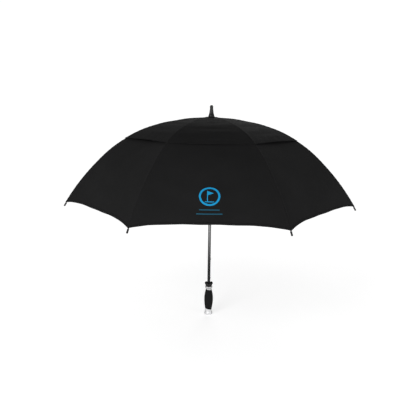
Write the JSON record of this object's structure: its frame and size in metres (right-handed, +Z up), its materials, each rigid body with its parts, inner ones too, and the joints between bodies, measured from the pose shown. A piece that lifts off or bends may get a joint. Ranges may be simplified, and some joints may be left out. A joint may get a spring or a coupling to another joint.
{
  "type": "golf umbrella",
  "caption": "Golf umbrella with a vented two-layer canopy, sliding runner, hinged ribs and stretchers, and a contoured grip, shown open.",
  "frame": {"origin": "centre of the flat lower end of the handle", "axes": "+Z up the shaft towards the top spike, -Y to the front panel, +X to the right seen from the front"},
  "size_m": [1.2806, 1.2488, 1.0059],
  "materials": {
    "cloth_lower": "matte woven pongee",
    "cloth_upper": "matte woven pongee, slightly lighter",
    "shaft_gloss": "gloss coated fibreglass tube",
    "rib_black": "satin fibreglass rod",
    "black_plastic": "satin moulded plastic",
    "grey_plastic": "matte moulded plastic",
    "silver": "satin silver paint",
    "grip_rubber": "matte textured rubber",
    "steel": "bright drawn wire",
    "stretcher_metal": "black enamel on steel"
  },
  "bodies": {
    "shaft": {"shaft": "shaft_gloss", "ferrule": "black_plastic", "rosette": "cloth_upper", "top_notch": "black_plastic", "notch_wire": "steel", "main_canopy": "cloth_lower", "vent_canopy": "cloth_upper", "tie_strap": "cloth_lower", "strap_snap": "steel", "catch_pins": "steel", "stop_pin": "steel", "tip_cup": "black_plastic", "neck_collar": "silver", "grip_core": "grey_plastic", "grip": "grip_rubber", "end_cap": "silver"},
    "runner": {"runner": "black_plastic", "runner_wire": "steel"},
    "top_catch": {"top_catch": "steel"},
    "lower_catch": {"lower_catch": "steel"},
    "rib_1": {"rib_inner_1": "rib_black", "rib_bracket_1": "steel"},
    "rib_2": {"rib_inner_2": "rib_black", "rib_bracket_2": "steel"},
    "rib_3": {"rib_inner_3": "rib_black", "rib_bracket_3": "steel"},
    "rib_4": {"rib_inner_4": "rib_black", "rib_bracket_4": "steel"},
    "rib_5": {"rib_inner_5": "rib_black", "rib_bracket_5": "steel"},
    "rib_6": {"rib_inner_6": "rib_black", "rib_bracket_6": "steel"},
    "rib_7": {"rib_inner_7": "rib_black", "rib_bracket_7": "steel"},
    "outer_1": {"rib_outer_1": "rib_black", "rib_tip_1": "black_plastic"},
    "outer_2": {"rib_outer_2": "rib_black", "rib_tip_2": "black_plastic"},
    "outer_3": {"rib_outer_3": "rib_black", "rib_tip_3": "black_plastic"},
    "outer_4": {"rib_outer_4": "rib_black", "rib_tip_4": "black_plastic"},
    "outer_5": {"rib_outer_5": "rib_black", "rib_tip_5": "black_plastic"},
    "outer_6": {"rib_outer_6": "rib_black", "rib_tip_6": "black_plastic"},
    "outer_7": {"rib_outer_7": "rib_black", "rib_tip_7": "black_plastic"},
    "stretcher_1": {"stretcher_1": "stretcher_metal"},
    "stretcher_2": {"stretcher_2": "stretcher_metal"},
    "stretcher_3": {"stretcher_3": "stretcher_metal"},
    "stretcher_4": {"stretcher_4": "stretcher_metal"},
    "stretcher_5": {"stretcher_5": "stretcher_metal"},
    "stretcher_6": {"stretcher_6": "stretcher_metal"},
    "stretcher_7": {"stretcher_7": "stretcher_metal"}
  },
  "joints": [
    {"name": "runner_slide", "type": "slide", "parent": "shaft", "child": "runner", "axis": [0, 0, -1], "range_m": [0, 0.36672], "deforming": ["runner_wire"]},
    {"name": "top_catch_press", "type": "hinge", "parent": "shaft", "child": "top_catch", "pos_m": [0, 0, 0.51124], "axis": [-0.2225, 0.9749, 0], "range_deg": [-3.3, 0]},
    {"name": "lower_catch_press", "type": "hinge", "parent": "shaft", "child": "lower_catch", "pos_m": [0, 0, 0.32372], "axis": [-0.2225, 0.9749, 0], "range_deg": [0, 3.3]},
    {"name": "rib_1_fold", "type": "hinge", "parent": "shaft", "child": "rib_1", "pos_m": [0.00434, -0.00901, 0.938], "axis": [0.901, 0.4339, 0], "range_deg": [0, 80.07]},
    {"name": "rib_2_fold", "type": "hinge", "parent": "shaft", "child": "rib_2", "pos_m": [0.00975, -0.00223, 0.938], "axis": [0.2225, 0.9749, 0], "range_deg": [0, 80.07]},
    {"name": "rib_3_fold", "type": "hinge", "parent": "shaft", "child": "rib_3", "pos_m": [0.00782, 0.00623, 0.938], "axis": [-0.6235, 0.7818, 0], "range_deg": [0, 80.07]},
    {"name": "rib_4_fold", "type": "hinge", "parent": "shaft", "child": "rib_4", "pos_m": [0, 0.01, 0.938], "axis": [-1, 0, 0], "range_deg": [0, 80.07]},
    {"name": "rib_5_fold", "type": "hinge", "parent": "shaft", "child": "rib_5", "pos_m": [-0.00782, 0.00623, 0.938], "axis": [-0.6235, -0.7818, 0], "range_deg": [0, 80.07]},
    {"name": "rib_6_fold", "type": "hinge", "parent": "shaft", "child": "rib_6", "pos_m": [-0.00975, -0.00223, 0.938], "axis": [0.2225, -0.9749, 0], "range_deg": [0, 80.07]},
    {"name": "rib_7_fold", "type": "hinge", "parent": "shaft", "child": "rib_7", "pos_m": [-0.00434, -0.00901, 0.938], "axis": [0.901, -0.4339, 0], "range_deg": [0, 80.07]},
    {"name": "outer_1_flex", "type": "hinge", "parent": "rib_1", "child": "outer_1", "pos_m": [0.12685, -0.26341, 0.89614], "axis": [0.901, 0.4339, 0], "range_deg": [-32.02, 0]},
    {"name": "outer_2_flex", "type": "hinge", "parent": "rib_2", "child": "outer_2", "pos_m": [0.28503, -0.06506, 0.89614], "axis": [0.2225, 0.9749, 0], "range_deg": [-32.02, 0]},
    {"name": "outer_3_flex", "type": "hinge", "parent": "rib_3", "child": "outer_3", "pos_m": [0.22858, 0.18228, 0.89614], "axis": [-0.6235, 0.7818, 0], "range_deg": [-32.02, 0]},
    {"name": "outer_4_flex", "type": "hinge", "parent": "rib_4", "child": "outer_4", "pos_m": [0, 0.29236, 0.89614], "axis": [-1, 0, 0], "range_deg": [-32.02, 0]},
    {"name": "outer_5_flex", "type": "hinge", "parent": "rib_5", "child": "outer_5", "pos_m": [-0.22858, 0.18228, 0.89614], "axis": [-0.6235, -0.7818, 0], "range_deg": [-32.02, 0]},
    {"name": "outer_6_flex", "type": "hinge", "parent": "rib_6", "child": "outer_6", "pos_m": [-0.28503, -0.06506, 0.89614], "axis": [0.2225, -0.9749, 0], "range_deg": [-32.02, 0]},
    {"name": "outer_7_flex", "type": "hinge", "parent": "rib_7", "child": "outer_7", "pos_m": [-0.12685, -0.26341, 0.89614], "axis": [0.901, -0.4339, 0], "range_deg": [-32.02, 0]},
    {"name": "stretcher_1_fold", "type": "hinge", "parent": "rib_1", "child": "stretcher_1", "pos_m": [0.12571, -0.26104, 0.88965], "axis": [0.901, 0.4339, 0], "range_deg": [-130.79, 0]},
    {"name": "stretcher_2_fold", "type": "hinge", "parent": "rib_2", "child": "stretcher_2", "pos_m": [0.28247, -0.06447, 0.88965], "axis": [0.2225, 0.9749, 0], "range_deg": [-130.79, 0]},
    {"name": "stretcher_3_fold", "type": "hinge", "parent": "rib_3", "child": "stretcher_3", "pos_m": [0.22652, 0.18064, 0.88965], "axis": [-0.6235, 0.7818, 0], "range_deg": [-130.79, 0]},
    {"name": "stretcher_4_fold", "type": "hinge", "parent": "rib_4", "child": "stretcher_4", "pos_m": [0, 0.28973, 0.88965], "axis": [-1, 0, 0], "range_deg": [-130.79, 0]},
    {"name": "stretcher_5_fold", "type": "hinge", "parent": "rib_5", "child": "stretcher_5", "pos_m": [-0.22652, 0.18064, 0.88965], "axis": [-0.6235, -0.7818, 0], "range_deg": [-130.79, 0]},
    {"name": "stretcher_6_fold", "type": "hinge", "parent": "rib_6", "child": "stretcher_6", "pos_m": [-0.28247, -0.06447, 0.88965], "axis": [0.2225, -0.9749, 0], "range_deg": [-130.79, 0]},
    {"name": "stretcher_7_fold", "type": "hinge", "parent": "rib_7", "child": "stretcher_7", "pos_m": [-0.12571, -0.26104, 0.88965], "axis": [0.901, -0.4339, 0], "range_deg": [-130.79, 0]}
  ],
  "couplings": [
    {"joint": "rib_1_fold", "follows": "runner_slide", "rad_per_m": 3.8104},
    {"joint": "rib_2_fold", "follows": "runner_slide", "rad_per_m": 3.8104},
    {"joint": "rib_3_fold", "follows": "runner_slide", "rad_per_m": 3.8104},
    {"joint": "rib_4_fold", "follows": "runner_slide", "rad_per_m": 3.8104},
    {"joint": "rib_5_fold", "follows": "runner_slide", "rad_per_m": 3.8104},
    {"joint": "rib_6_fold", "follows": "runner_slide", "rad_per_m": 3.8104},
    {"joint": "rib_7_fold", "follows": "runner_slide", "rad_per_m": 3.8104},
    {"joint": "outer_1_flex", "follows": "runner_slide", "rad_per_m": -1.5233},
    {"joint": "outer_2_flex", "follows": "runner_slide", "rad_per_m": -1.5233},
    {"joint": "outer_3_flex", "follows": "runner_slide", "rad_per_m": -1.5233},
    {"joint": "outer_4_flex", "follows": "runner_slide", "rad_per_m": -1.5233},
    {"joint": "outer_5_flex", "follows": "runner_slide", "rad_per_m": -1.5233},
    {"joint": "outer_6_flex", "follows": "runner_slide", "rad_per_m": -1.5233},
    {"joint": "outer_7_flex", "follows": "runner_slide", "rad_per_m": -1.5233},
    {"joint": "stretcher_1_fold", "follows": "runner_slide", "rad_per_m": -6.2243},
    {"joint": "stretcher_2_fold", "follows": "runner_slide", "rad_per_m": -6.2243},
    {"joint": "stretcher_3_fold", "follows": "runner_slide", "rad_per_m": -6.2243},
    {"joint": "stretcher_4_fold", "follows": "runner_slide", "rad_per_m": -6.2243},
    {"joint": "stretcher_5_fold", "follows": "runner_slide", "rad_per_m": -6.2243},
    {"joint": "stretcher_6_fold", "follows": "runner_slide", "rad_per_m": -6.2243},
    {"joint": "stretcher_7_fold", "follows": "runner_slide", "rad_per_m": -6.2243}
  ]
}
